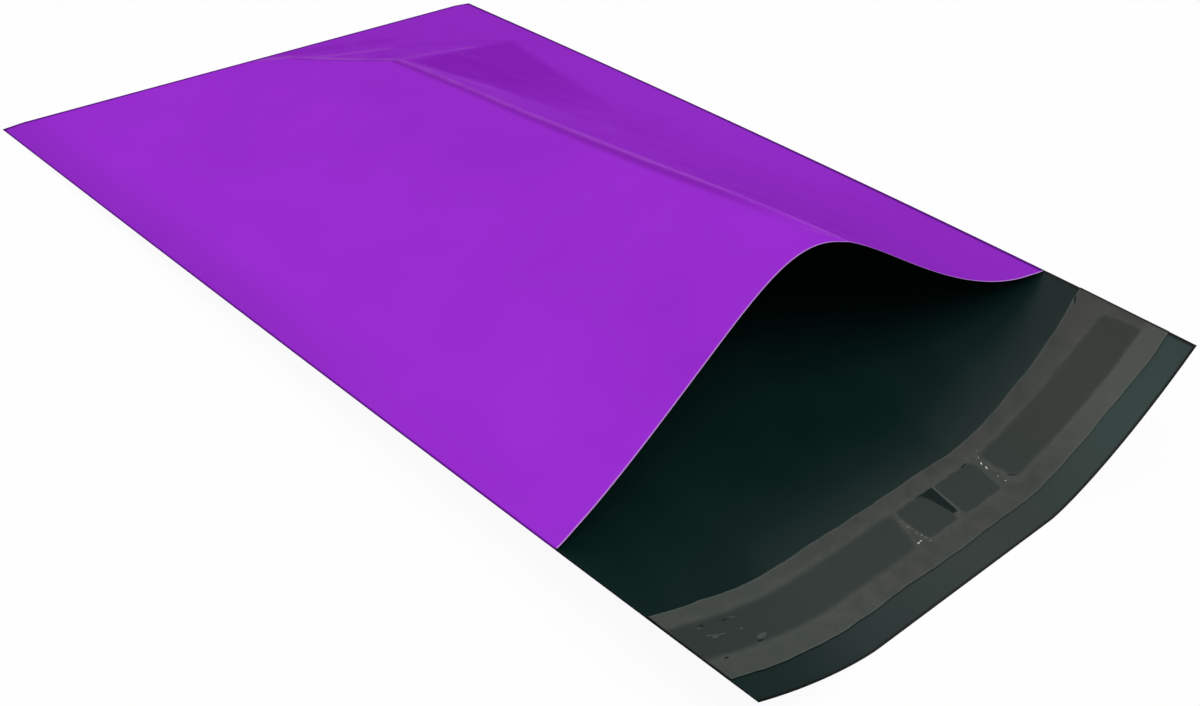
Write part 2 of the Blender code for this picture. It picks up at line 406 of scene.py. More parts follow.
def strip(name, columns, rows, side_ends, edges, lift, thickness, materials):
    """A strip between two edges. Its ends slant, so each has a place for every row's share."""

    def place(column, row):
        share = row / rows
        start, end = (mix(*ends, share) for ends in side_ends)
        across = mix(start, end, column / columns)
        return across, mix(edges[0](across), edges[1](across), share)

    def flat(column, row):
        across, along = place(column, row)
        return across, -along, min(abs(along - edge(across)) for edge in edges)

    def point(column, row):
        across, along = place(column, row)
        return on_flap(across, along, lift(across, along))

    grid = film_grid(columns, rows, flat, point)
    return finished_sheet(name, grid, thickness, materials)


# %% Edges of the liner
SLOW_STRAYS, SLOW_STRAY = 9, 0.00045
QUICK_STRAYS, QUICK_STRAY, STRAY_STEPS = 31, 0.00035, 3
SLOW_SLICE, QUICK_SLICE, RIPPLE_SLICE = 0.2, 5.1, 3.3
MOUTH_EDGE_SEED, FLAP_EDGE_SEED = 1.5, 7.5
RIPPLES_ACROSS, RIPPLES_ALONG = 22, 90
RIPPLE_HEIGHT, RIPPLE_MARGIN = 0.00025, 0.003


def wandering(across, seed):
    """How far a cut edge strays: slowly, and with the small steps that the cutter leaves."""
    slow = noise.noise(Vector((across * SLOW_STRAYS, seed, SLOW_SLICE)))
    quick = noise.noise(Vector((across * QUICK_STRAYS, seed, QUICK_SLICE)))
    step = round(quick * STRAY_STEPS) / STRAY_STEPS
    return SLOW_STRAY * slow + QUICK_STRAY * step


def liner_mouth_edge(across):
    curled = max(0.0, 1 - (1 - across) * BAG_WIDTH / RIGHT_CURL_WIDTH)
    return LINER_START - LINER_FLARE * curled**2 + wandering(across, MOUTH_EDGE_SEED)


def liner_flap_edge(across):
    return LINER_END + wandering(across, FLAP_EDGE_SEED)


def liner_lift(across, along):
    """The liner rests on the adhesive and ripples a little where nothing holds it down."""
    off_adhesive = max(ADHESIVE_START - along, along - ADHESIVE_END, 0.0)
    place = Vector((across * RIPPLES_ACROSS, along * RIPPLES_ALONG, RIPPLE_SLICE))
    ripple = 0.5 + 0.5 * noise.noise(place)
    layers = FILM_THICKNESS + ADHESIVE_THICKNESS + 2 * LAYER_CLEARANCE
    return layers + RIPPLE_HEIGHT * ripple * min(1.0, off_adhesive / RIPPLE_MARGIN)


print("liner at mid width:", liner_mouth_edge(0.5), "to", liner_flap_edge(0.5))

# %% [markdown]
# ## Nodes and colours
#
# Colours are written as the hex values that a painter's screen would show and turned to linear
# light by one function. One more function adds a shader node with its settings and inputs.


# %% Colour and node helpers
def linear(hex_colour):
    """An sRGB hex colour as linear light."""
    levels = [int(hex_colour[start : start + 2], 16) / 255 for start in (1, 3, 5)]
    light = [x / 12.92 if x <= 0.04045 else ((x + 0.055) / 1.055) ** 2.4 for x in levels]
    return (*light, 1.0)


def fill(tree, node, inputs):
    """Links each input to its socket, or sets it to its value."""
    for name, value in inputs.items():
        if isinstance(value, bpy.types.NodeSocket):
            tree.links.new(value, node.inputs[name])
        else:
            node.inputs[name].default_value = value


def add_node(tree, kind, settings, inputs):
    """Adds a node, makes its settings and fills its inputs. Returns its outputs."""
    made = tree.nodes.new(kind)
    for name, value in settings.items():
        setattr(made, name, value)
    fill(tree, made, inputs)
    return made.outputs


def new_material(name):
    """A new material with its node tree and its shader, and the flat place on the film."""
    material = bpy.data.materials.new(name)
    material.use_nodes = True
    tree = material.node_tree
    shader = tree.nodes["Principled BSDF"]
    place = add_node(tree, "ShaderNodeUVMap", {"uv_map": UV_NAME}, {})[0]
    return material, tree, shader, place


print("middle grey in linear light:", round(linear("#808080")[0], 3))


# %% [markdown]
# ## Shares and coats
#
# Most marks lie within some distance of a fold, a seal or a cut. How much of a mark there is at
# a place, its share, goes smoothly from full to none over a short way. A surface gets its
# colours as coats over one another, each as thick as its share. The marks could be painted in
# an image, but worked out this way they stay sharp at any size.


# %% Shares and coats
def within(tree, *limits, join="MULTIPLY"):
    """How much of a mark there is within its limits.

    Each limit is a measure, where it is full and where it has come to none. Two more numbers
    may follow, which are the shares there if they aren't 1 and 0. The limits are multiplied,
    or the largest of them counts where join is MAXIMUM.
    """
    joined = None
    for measure, full, none, *ends in limits:
        most, least = ends or (1.0, 0.0)
        share = add_node(
            tree,
            "ShaderNodeMapRange",
            {"interpolation_type": "SMOOTHSTEP"},
            {"Value": measure, "From Min": full, "From Max": none, "To Min": most, "To Max": least},
        )[0]
        if joined is not None:
            share = add_node(tree, "ShaderNodeMath", {"operation": join}, {0: joined, 1: share})[0]
        joined = share
    return joined


def coated(tree, colour, coats):
    """The colour under its coats. Each coat has a share, a tone and how much it may cover."""
    for share, tone, most in coats:
        cover = add_node(tree, "ShaderNodeMath", {"operation": "MULTIPLY"}, {0: share, 1: most})[0]
        colour = add_node(
            tree, "ShaderNodeMix", {"data_type": "RGBA"}, {0: cover, 6: colour, 7: linear(tone)}
        )[2]
    return colour


def film_measures(tree, place):
    """Metres from the left side seal, along the film, and from the right side seal."""
    across, along = add_node(tree, "ShaderNodeSeparateXYZ", {}, {0: place})[:2]
    to_right = add_node(
        tree, "ShaderNodeMath", {"operation": "SUBTRACT"}, {0: BAG_WIDTH, 1: across}
    )[0]
    return across, along, to_right


def clouded(tree, place, patch, tones):
    """A soft noise in patches of this many metres, and the two tones as it mixes them."""
    cloud = add_node(
        tree, "ShaderNodeTexNoise", {}, {"Vector": place, "Scale": 1 / patch, "Detail": 2.0}
    )[0]
    first, second = (linear(tone) for tone in tones)
    colour = add_node(
        tree, "ShaderNodeMix", {"data_type": "RGBA"}, {0: cloud, 6: first, 7: second}
    )[2]
    return cloud, colour


# %% [markdown]
# ## Marks along a crease
#
# Folding polyethylene film leaves two marks. The film keeps a small ridge, and along it the plastic
# is stretched and turns paler; that pale line is also a painted highlight along the crease. Some
# folds also get a deep line beside them, which is painted shade. All follow the distance to the
# crease, so one function works that out on the flat film: for each straight piece of the crease,
# the place is turned into that piece's own axes, and the nearest piece wins. Past an end the
# distance grows slowly, which lets the mark fade out as a real crease does.


# %% Distance to a crease
END_GROWTH = 0.35


def distance_to_crease(tree, place, waypoints):
    """Metres from a line through these waypoints, which are in millimetres across and along."""
    nearest = None
    for (x1, s1), (x2, s2) in zip(waypoints, waypoints[1:]):
        middle = ((x1 + x2) / 2 * MILLIMETRE, (s1 + s2) / 2 * MILLIMETRE, 0)
        turn = math.atan2(s2 - s1, x2 - x1)
        half = math.hypot(x2 - x1, s2 - s1) / 2 * MILLIMETRE
        own = add_node(
            tree,
            "ShaderNodeMapping",
            {"vector_type": "TEXTURE"},
            {"Vector": place, "Location": middle, "Rotation": (0, 0, turn)},
        )[0]
        axes = add_node(tree, "ShaderNodeSeparateXYZ", {}, {0: own})
        reach = add_node(tree, "ShaderNodeMath", {"operation": "ABSOLUTE"}, {0: axes[0]})[0]
        past = add_node(tree, "ShaderNodeMath", {"operation": "SUBTRACT"}, {0: reach, 1: half})[0]
        past = add_node(tree, "ShaderNodeMath", {"operation": "MAXIMUM"}, {0: past, 1: 0.0})[0]
        aside = add_node(tree, "ShaderNodeMath", {"operation": "ABSOLUTE"}, {0: axes[1]})[0]
        distance = add_node(
            tree,
            "ShaderNodeMath",
            {"operation": "MULTIPLY_ADD"},
            {0: past, 1: END_GROWTH, 2: aside},
        )[0]
        if nearest is not None:
            distance = add_node(
                tree, "ShaderNodeMath", {"operation": "MINIMUM"}, {0: nearest, 1: distance}
            )[0]
        nearest = distance
    return nearest


def short_marks(tree, place, marks, core):
    """The share of some short marks. Each is full over the core of its half width."""
    limits = []
    for waypoints, half_width in marks:
        distance = distance_to_crease(tree, place, waypoints)
        limits.append((distance, half_width * core * MILLIMETRE, half_width * MILLIMETRE))
    return within(tree, *limits, join="MAXIMUM")


# %% [markdown]
# A patch of film, such as a pad of adhesive, is a four-sided outline with slanting ends. Its
# distance is the largest of the distances past its four sides, with the corners rounded.


# %% Distance to a patch
def distance_to_patch(tree, place, near_ends, far_ends, lengths, corner):
    """Metres outside a patch. It runs between two lengths, and has a left and right end at each."""
    axes = add_node(tree, "ShaderNodeSeparateXYZ", {}, {0: place})
    near, far = (length * MILLIMETRE for length in lengths)
    past = []
    for side in (0, 1):
        start, end = near_ends[side] * MILLIMETRE, far_ends[side] * MILLIMETRE
        slope = (end - start) / (far - near)
        end_line = add_node(
            tree,
            "ShaderNodeMath",
            {"operation": "MULTIPLY_ADD"},
            {0: axes[1], 1: slope, 2: start - slope * near},
        )[0]
        order = (end_line, axes[0]) if side == 0 else (axes[0], end_line)
        past += add_node(
            tree, "ShaderNodeMath", {"operation": "SUBTRACT"}, {0: order[0], 1: order[1]}
        )[:1]
    aside = add_node(tree, "ShaderNodeMath", {"operation": "MAXIMUM"}, {0: past[0], 1: past[1]})[0]
    middle = add_node(
        tree, "ShaderNodeMath", {"operation": "SUBTRACT"}, {0: axes[1], 1: (near + far) / 2}
    )[0]
    middle = add_node(tree, "ShaderNodeMath", {"operation": "ABSOLUTE"}, {0: middle})[0]
    beyond = add_node(
        tree, "ShaderNodeMath", {"operation": "SUBTRACT"}, {0: middle, 1: abs(far - near) / 2}
    )[0]
    return add_node(
        tree,
        "ShaderNodeMath",
        {"operation": "SMOOTH_MAX"},
        {0: aside, 1: beyond, 2: corner * MILLIMETRE},
    )[0]


# %% [markdown]
# ## Purple outside
#
# The outside is blown low-density polyethylene with an opaque pigment. It is matt: even where
# it is seen at a slant it stays purple instead of turning pale, so it is given no reflection.
#
# Each fold is a row of a table: where it runs, how wide and high its ridge is, how pale its line of
# whitening and painted highlight is, and how deep its line of painted shade is. The film isn't
# stretched evenly along a fold, so a noise in patches of 14 mm makes the pale lines come and go.

# %% Folds of the purple film
FOLDS = (
    # waypoints, half width of the ridge in mm, its rise in mm, how pale (whitening and painted
    # highlight) and how deep (painted shade) its line is
    (LONG_CREASE, 1.5, 0.22, 0.62, 0.0),
    (((153.6, 42.4), (144.4, 31.6), (132.5, 17.4), (125.2, 7.8), (112.0, 1.5)), 1.6, 0.2, 0.8, 0.0),
    (((153.6, 42.4), (173.6, 45.7), (190.0, 48.2)), 1.4, 0.18, 0.5, 0.0),
    (((153.5, 46.0), (153.3, 72.0), (152.6, 104.0)), 1.0, 0.06, 0.3, 0.0),
    (((124.0, 8.0), (135.7, 16.5), (150.0, 22.0), (160.0, 25.5)), 1.6, 0.1, 0.5, 0.0),
    (((128.0, 5.0), (148.0, 10.0), (166.0, 16.0)), 6.0, 0.0, 0.0, 0.55),
    (((151.0, 22.0), (160.0, 25.0), (181.5, 33.0), (206.6, 47.0)), 2.6, -0.14, 0.0, 0.3),
    (((124.8, 290.0), (129.0, 301.0)), 1.2, 0.1, 0.3, 0.0),
    (((163.2, 161.0), (182.0, 157.0), (202.0, 154.0)), 3.0, 0.1, 0.0, 0.25),
)
# metres from a fold, where its pale line is full and where it is gone
PALE_LINE = (0.0002, 0.0026)
PALE_PATCH = 0.014

purple_film, tree, shader, place = new_material("blown_polyethylene_purple")
across, along, to_right = film_measures(tree, place)

pale_lines, deep_lines, relief = [], [], 0.0
for waypoints, half_width, rise, pale, deep in FOLDS:
    distance = distance_to_crease(tree, place, waypoints)
    foot = half_width * MILLIMETRE
    mound = within(tree, (distance, 0.0, foot))
    relief = add_node(
        tree,
        "ShaderNodeMath",
        {"operation": "MULTIPLY_ADD"},
        {0: mound, 1: rise * MILLIMETRE, 2: relief},
    )[0]
    if pale:
        pale_lines.append((distance, *PALE_LINE, pale, 0.0))
    if deep:
        deep_lines.append((distance, 0.0, foot, deep, 0.0))
# the pale lines are stretched film with a painted highlight, the deep lines are painted shade
whitening_and_highlight = within(tree, *pale_lines, join="MAXIMUM")
fold_shade = within(tree, *deep_lines, join="MAXIMUM")

patchy = add_node(
    tree, "ShaderNodeTexNoise", {}, {"Vector": place, "Scale": 1 / PALE_PATCH, "Detail": 2.0}
)[0]
patchy = add_node(
    tree,
    "ShaderNodeMapRange",
    {},
    {"Value": patchy, "From Min": 0.38, "From Max": 0.58, "To Min": 0.5, "To Max": 1.0},
)[0]
whitening_and_highlight = add_node(tree, "ShaderNodeMath", {"operation": "MULTIPLY"}, {0: whitening_and_highlight, 1: patchy})[0]
print("folds:", len(pale_lines), "pale and", len(deep_lines), "deep")

# %% [markdown]
# The long crease and the left arm of the Y divide the front in two. Where that line runs across
# the film is worked out from the length: between two of its points it moves over by their step.

# %% The line that divides the front
DIVIDE = ((108.0, 0.0), (113.5, 2.4), (125.2, 7.8), (132.5, 17.4), (144.4, 31.6), *LONG_CREASE)

divide = DIVIDE[0][0] * MILLIMETRE
for (start, near), (end, far) in zip(DIVIDE, DIVIDE[1:]):
    step = add_node(
        tree,
        "ShaderNodeMapRange",
        {},
        {
            "Value": along,
            "From Min": near * MILLIMETRE,
            "From Max": far * MILLIMETRE,
            "To Min": 0.0,
            "To Max": (end - start) * MILLIMETRE,
        },
    )[0]
    divide = add_node(tree, "ShaderNodeMath", {"operation": "ADD"}, {0: divide, 1: step})[0]
short_of = add_node(tree, "ShaderNodeMath", {"operation": "SUBTRACT"}, {0: divide, 1: across})[0]
right_of_divide = (short_of, -0.0008, 0.0004)
on_front = (along, 0.0, -0.0005)
print("dividing line:", len(DIVIDE), "points")

# %% [markdown]
# The film right of that line is painted a deeper purple, as painted shade on the side where less
# light falls. It is deepest on the facet next to the fork, also painted shade, and a paler band of
# painted light lies between that facet and the crease. The film is deeper beside the left seal, and
# beside the right one it is painted paler, as painted light. All over the bag the colour drifts a
# little, where the film was blown thinner.

# %% Tones of the front
DRIFT_PATCH = 0.045

drift, body = clouded(tree, place, DRIFT_PATCH, ("#952bcc", "#a233db"))

# each limit is in metres: the measure, where the tone is full and where it is gone
by_left = within(tree, (across, 0.001, 0.023), (along, 0.130, 0.250, 0.85, 0.25))
# painted light: paler beside the right seal
by_right = within(tree, (to_right, 0.006, 0.060), (along, 0.120, 0.030), (along, 0.210, 0.260))
# painted shade right of the dividing line
shaded_side = within(tree, right_of_divide, on_front, (along, 0.180, 0.270, 0.7, 1.0))
# painted shade on the facet next to the fork
facet = distance_to_patch(tree, place, (153, 213), (153, 176), (47, 175), 5)
facet = within(tree, (facet, -0.006, 0.001), (along, 0.080, 0.170))
# painted light on the band between that facet and the crease
band = distance_to_patch(tree, place, (100, 153.4), (100, 153.4), (46, 400), 0.5)
band = within(tree, (band, -0.0005, 0.0008), (along, 0.100, 0.180), right_of_divide, on_front)
print("tones of the front:", len(tree.nodes), "nodes so far")

# %% [markdown]
# Left of the long crease runs a shallow dip, 5 mm wide near the fork and 9 mm wide towards the
# mouth. The light misses its near side, which shows as a deep line. It starts 2 % of its width
# from the crease, is full from 15 to 35 % and has gone at its far side.

# %% Dip beside the crease
dip_width = within(tree, (along, 0.240, 0.100, 0.0092, 0.0052))
dip = add_node(tree, "ShaderNodeMath", {"operation": "DIVIDE"}, {0: short_of, 1: dip_width})[0]
dip = within(tree, (dip, 0.15, 0.02), (dip, 0.35, 1.0), (along, 0.235, 0.290), on_front)
fold_shade = add_node(tree, "ShaderNodeMath", {"operation": "MAXIMUM"}, {0: fold_shade, 1: dip})[0]

# among these coats are painted light beside the right seal and on the band, painted shade right of
# the divide, on the facet and beside the folds, and the painted highlight in the pale lines
body = coated(
    tree,
    body,
    (
        (by_left, "#8e2bc2", 1.0),
        (by_right, "#aa3aec", 0.5),
        (shaded_side, "#8f2bc2", 1.0),
        (facet, "#8922ba", 1.0),
        (band, "#9835ce", 0.7),
        (fold_shade, "#8825b5", 0.95),
        (whitening_and_highlight, "#a24ccb", 1.0),
    ),
)

# %% [markdown]
# The shaded side has faint crinkles that run nearly along the crease. They are about 8 mm wide and
# 26 mm long, pale or deep, and weaker away from the crease. They are too low to show in the
# outline, so a noise that is stretched along them only colours them, with a painted highlight on
# the pale ones and painted shade on the deep ones.

# %% Crinkles on the shaded side, painted light and shade
CRINKLE_WIDTH, CRINKLE_LENGTH, CRINKLE_SLANT = 0.008, 0.026, -0.10

stretched = add_node(
    tree,
    "ShaderNodeMapping",
    {},
    {
        "Vector": place,
        "Rotation": (0, 0, CRINKLE_SLANT),
        "Scale": (1 / CRINKLE_WIDTH, 1 / CRINKLE_LENGTH, 1.0),
    },
)[0]
crinkle = add_node(
    tree, "ShaderNodeTexNoise", {}, {"Vector": stretched, "Scale": 1.0, "Detail": 4.0}
)[0]
weaker_away = (short_of, -0.045, -0.020, 0.08, 0.24)
# the pale crinkles get a painted highlight, the deep ones painted shade
for crest, slope, tone in ((0.68, 0.52, "#9a3cca"), (0.32, 0.48, "#8020ae")):
    share = within(tree, (crinkle, crest, slope), right_of_divide, on_front, weaker_away)
    body = coated(tree, body, ((share, tone, 1.0),))

# %% [markdown]
# The hot side seals and the bottom fold have a thin dark line, and at the mouth the cut edge has a
# thin pale one, a painted highlight where the edge catches the light. The flap is seen from its
# black side, so its rim is nearly black too.

# %% Seals, fold and cut edges
to_cut = add_node(
    tree, "ShaderNodeAttribute", {"attribute_name": EDGE_NAME, "attribute_type": "GEOMETRY"}, {}
)[2]
to_fold = add_node(tree, "ShaderNodeMath", {"operation": "ABSOLUTE"}, {0: along})[0]
seal = within(
    tree,
    (across, 0.0003, 0.0009),
    (to_right, 0.0010, 0.0026),
    (to_fold, 0.0006, 0.0016),
    join="MAXIMUM",
)
# painted highlight along the cut edge at the mouth
cut = within(tree, (to_cut, 0.00025, 0.00055))
to_rim = add_node(tree, "ShaderNodeMath", {"operation": "ADD"}, {0: BACK_LENGTH, 1: along})[0]
for distance in (across, to_right):
    to_rim = add_node(
        tree, "ShaderNodeMath", {"operation": "MINIMUM"}, {0: to_rim, 1: distance}
    )[0]
past_mouth = (along, -FRONT_LENGTH, -FRONT_LENGTH + 0.0005)
rim = within(tree, (to_rim, 0.00002, 0.00008), past_mouth)
body = coated(tree, body, ((seal, "#56157b", 1.0), (cut, "#bb87d2", 1.0), (rim, "#0b1211", 1.0)))

# %% [markdown]
# The ridges of the folds and the film's own grain are too low for the mesh, so they are drawn
# as relief. The roughness drifts with the colour. Both sides of the film are the same plastic,
# so one function finishes them.

# %% Relief of the purple film
POLYETHYLENE_IOR = 1.51
SMOOTHEST = 0.36
CLOUD_LOW, CLOUD_HIGH = 0.3, 0.7  # a soft noise hardly leaves this range
GRAIN_WIDTH, GRAIN_HEIGHT = 0.009, 0.00003


def finish_film(tree, shader, colour, relief, depth, cloud, roughest, sheen):
    """Gives a film its colour, its relief, a roughness that drifts with a cloud, and its sheen."""
    bump = add_node(
        tree, "ShaderNodeBump", {}, {"Height": relief, "Distance": depth, "Strength": 1.0}
    )[0]
    roughness = add_node(
        tree,
        "ShaderNodeMapRange",
        {},
        {
            "Value": cloud,
            "From Min": CLOUD_LOW,
            "From Max": CLOUD_HIGH,
            "To Min": SMOOTHEST,
            "To Max": roughest,
        },
    )[0]
    fill(tree, shader, {"Base Color": colour, "Normal": bump, "Roughness": roughness})
    fill(tree, shader, {"IOR": POLYETHYLENE_IOR, "Specular IOR Level": sheen})


grain = add_node(
    tree, "ShaderNodeTexNoise", {}, {"Vector": place, "Scale": 1 / GRAIN_WIDTH, "Detail": 3.0}
)[0]
relief = add_node(
    tree,
    "ShaderNodeMath",
    {"operation": "MULTIPLY_ADD"},
    {0: grain, 1: GRAIN_HEIGHT, 2: relief},
)[0]
finish_film(tree, shader, body, relief, depth=1.0, cloud=drift, roughest=0.46, sheen=0.0)
print("purple film:", len(tree.nodes), "nodes")

# %% [markdown]
# ## Black inside
#
# The inner layer carries carbon black, so that nobody can see through the parcel. It is the same
# smooth film, but on black the sheen is most of what there is to see, so it keeps more of it. The
# pigment is slightly green, and fine handling waves break up the sheen. The flap is painted a
# little paler than the inside and greener towards its right, as a painted sheen, and the knife and
# the seals leave a dark rim on it.

# %% Colours of the black film
HAZE_PATCH = 0.040

black_film, tree, shader, place = new_material("blown_polyethylene_black")
across, along, to_right = film_measures(tree, place)
haze, body = clouded(tree, place, HAZE_PATCH, ("#031c1a", "#072320"))
to_end = add_node(tree, "ShaderNodeMath", {"operation": "ADD"}, {0: BACK_LENGTH, 1: along})[0]

# painted sheen: the flap is paler than the inside, and greener towards its right
flap_sheen = ((along, -0.3560, -0.3200), (across, 0.120, 0.030, 1.0, 0.15))
flap_sheen_share = within(tree, *flap_sheen)
flap_sheen_right = within(tree, *flap_sheen, (across, 0.205, 0.150))
rim = within(
    tree,
    (across, 0.0003, 0.0009),
    (to_right, 0.0006, 0.0016),
    (to_end, 0.0005, 0.0012),
    join="MAXIMUM",
)
body = coated(
    tree,
    body,
    ((flap_sheen_share, "#283330", 1.0), (flap_sheen_right, "#2d3f3b", 1.0), (rim, "#020606", 1.0)),
)

# %% Relief of the black film
HANDLING_WIDTH, HANDLING_HEIGHT = 0.018, 0.00012

handling = add_node(
    tree, "ShaderNodeTexNoise", {}, {"Vector": place, "Scale": 1 / HANDLING_WIDTH, "Detail": 3.0}
)[0]
finish_film(tree, shader, body, handling, HANDLING_HEIGHT, haze, roughest=0.44, sheen=0.28)
print("black film:", len(tree.nodes), "nodes")

# %% The film
film = finished_sheet("mailer_film", web, FILM_THICKNESS, (black_film, purple_film))
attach(film, "root")
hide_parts("film_bag")

# %% [markdown]
# ## Adhesive
#
# The adhesive is a hot-melt strip, pressed on in a long band, two short pads and another long
# band. Between the pads the two feeds didn't meet, and a small wedge of film stays bare. The
# strip is clear and slightly smoky, so over black film it reads as a smooth dark grey.

# %% Hot melt
CLOUD_WIDTH, CLOUD_HEIGHT = 0.006, 0.00001

hot_melt, tree, shader, place = new_material("hot_melt_adhesive")
cloud, body = clouded(tree, place, CLOUD_WIDTH, ("#252e2a", "#2d3631"))
bump = add_node(
    tree, "ShaderNodeBump", {}, {"Height": cloud, "Distance": CLOUD_HEIGHT, "Strength": 1.0}
)[0]
fill(tree, shader, {"Base Color": body, "Normal": bump, "Roughness": 0.4, "IOR": 1.48})
print("hot melt:", len(tree.nodes), "nodes")

# %% Adhesive pieces
ADHESIVE_ROWS = 8
ADHESIVE = (
    # node, left and right end in mm on the mouth's side, the same on the flap's side, columns
    ("adhesive_band_left", (1.5, 109.3), (1.5, 109.3), 70),
    ("adhesive_pad_left", (110.1, 123.7), (110.1, 125.9), 12),
    ("adhesive_pad_right", (131.1, 154.0), (129.3, 154.0), 18),
    ("adhesive_band_right", (154.8, 224.6), (154.8, 224.6), 50),
)
for node, mouth_ends, flap_ends, columns in ADHESIVE:
    ends = [tuple(x * MILLIMETRE / BAG_WIDTH for x in end) for end in zip(flap_ends, mouth_ends)]
    piece = strip(
        node.replace("adhesive", "hot_melt"),
        columns,
        ADHESIVE_ROWS,
        ends,
        (lambda across: ADHESIVE_END, lambda across: ADHESIVE_START),
        lambda across, along: FILM_THICKNESS + LAYER_CLEARANCE,
        ADHESIVE_THICKNESS,
        (hot_melt,),
    )
    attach(piece, "root")
    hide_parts(node)

# %% [markdown]
# ## Release liner
#
# The liner is frosted polypropylene. Where it hangs free, its back surface scatters light and
# it looks milky. Where the adhesive wets that surface the scattering is gone, and the dark film
# shows through. So its see-through share follows the outline of the adhesive, which is slightly
# ragged.

# %% Where the liner touches the adhesive
RAGGED_PATCH, RAGGED_SHIFT = 0.005, 0.0014
WETTED = (
    # ends on the mouth's side, ends on the flap's side, how soft the outline is, corner in mm
    ((-2.0, 109.0), (-2.0, 103.6), 1.3, 4.0),
    ((110.2, 124.6), (110.0, 126.6), 0.4, 4.5),
    ((131.0, 152.0), (129.4, 149.8), 0.4, 3.5),
    ((156.2, 223.6), (156.6, 225.0), 0.9, 4.0),
)
ADHESIVE_REACH = (-335.6, -349.6)
TENTED = (0.0005, 0.0035)  # metres past the adhesive, where the liner slopes down to the film

liner_film, tree, shader, place = new_material("frosted_polypropylene_liner")
across, along, to_right = film_measures(tree, place)
ragged = add_node(
    tree, "ShaderNodeTexNoise", {}, {"Vector": place, "Scale": 1 / RAGGED_PATCH, "Detail": 3.0}
)[1]
ragged = add_node(
    tree, "ShaderNodeVectorMath", {"operation": "SUBTRACT"}, {0: ragged, 1: (0.5, 0.5, 0.5)}
)[0]
ragged = add_node(
    tree,
    "ShaderNodeVectorMath",
    {"operation": "MULTIPLY_ADD"},
    {0: ragged, 1: (RAGGED_SHIFT, RAGGED_SHIFT, 0.0), 2: place},
)[0]
touching, hanging = [], []
for mouth_ends, flap_ends, soft, corner in WETTED:
    off = distance_to_patch(tree, ragged, mouth_ends, flap_ends, ADHESIVE_REACH, corner)
    touching.append((off, -soft * MILLIMETRE, soft * MILLIMETRE))
    hanging.append((off, *TENTED))
contact = within(tree, *touching, join="MAXIMUM")
tented = within(tree, *hanging, join="MAXIMUM")
print("wetted patches:", len(touching))

# %% [markdown]
# Small trapped air pockets keep their milkiness, and tiny blisters at the two joints between
# the bands and the pads catch the light. The blisters are beads about 1 mm apart, taken from
# the peaks of a noise along short rows.

# %% Air pockets
POCKETS = (
    # waypoints in mm, half width
    (((12.4, -341.3), (15.0, -341.9), (19.2, -342.4)), 0.35),
    (((14.4, -342.6), (15.8, -342.3)), 0.70),
    (((29.6, -347.5), (31.8, -347.3)), 0.95),
    (((27.0, -342.8), (27.3, -342.8)), 0.45),
    (((27.8, -337.7), (29.8, -338.0)), 0.28),
    (((12.2, -338.0), (13.6, -338.1)), 0.25),
)
POCKET_CORE = 0.6

pockets = short_marks(tree, ragged, POCKETS, POCKET_CORE)
contact = add_node(
    tree, "ShaderNodeMath", {"operation": "SUBTRACT", "use_clamp": True}, {0: contact, 1: pockets}
)[0]

# %% Blisters at the joints
BLISTER_ROWS = (
    ((109.2, -338.6), (109.0, -343.0), (109.0, -347.0), (109.6, -349.8)),
    ((105.4, -348.9), (107.0, -348.7)),
    ((156.6, -334.8), (154.6, -336.6), (153.7, -340.0), (153.6, -345.0), (153.3, -349.0)),
)
BEAD_SIZE, BEAD_PEAK, BEAD_FOOT = 0.0010, 0.71, 0.60
ROW_WIDTH = (0.0001, 0.0006)
beads = add_node(
    tree, "ShaderNodeTexNoise", {}, {"Vector": place, "Scale": 1 / BEAD_SIZE, "Detail": 0.0}
)[0]
beads = within(tree, (beads, BEAD_PEAK, BEAD_FOOT))
near_rows = [(distance_to_crease(tree, place, row), *ROW_WIDTH) for row in BLISTER_ROWS]
blisters = add_node(
    tree,
    "ShaderNodeMath",
    {"operation": "MULTIPLY"},
    {0: within(tree, *near_rows, join="MAXIMUM"), 1: beads},
)[0]
print("air pockets:", len(POCKETS), "and rows of blisters:", len(BLISTER_ROWS))

# %% Bare wedge and dark nicks
DARK_MARKS = (
    # waypoints in mm, half width
    (((223.0, -325.2), (224.6, -324.3)), 0.40),
    (((147.4, -335.6), (149.4, -335.3)), 0.45),
    (((14.4, -337.4), (15.2, -337.4)), 0.35),
    (((24.8, -338.1), (25.8, -338.0)), 0.35),
    (((27.4, -349.0), (28.6, -348.9)), 0.40),
    (((8.4, -350.9), (9.4, -350.8)), 0.40),
    (((156.2, -347.4), (157.6, -349.0)), 0.30),
)
NICK_CORE = 0.4

wedge = distance_to_patch(tree, place, (121.6, 130.5), (125.6, 128.4), (-335.4, -347.3), 0.5)
wedge = within(tree, (wedge, -0.0003, 0.0002))
left_pad = within(tree, touching[1])
dark = add_node(
    tree, "ShaderNodeMath", {"operation": "SUBTRACT", "use_clamp": True}, {0: wedge, 1: left_pad}
)[0]
nicks = short_marks(tree, ragged, DARK_MARKS, NICK_CORE)
dark = add_node(tree, "ShaderNodeMath", {"operation": "MAXIMUM"}, {0: dark, 1: nicks})[0]
glint = distance_to_crease(tree, place, ((130.9, -336.2), (129.5, -346.4)))
glint = within(tree, (glint, 0.0001, 0.0004))
print("dark marks beside the wedge:", len(DARK_MARKS))

# %% [markdown]
# The frost isn't even. It is warmer at the right end and paler at the left one, and where the strip
# hangs past the adhesive on the right. The cut edges are a little paler, a painted highlight where
# they catch the light, and the ends are dark, because there the liner lies flush with the dark rim
# of the film.

# %% Frost
FROST_PATCH = 0.007

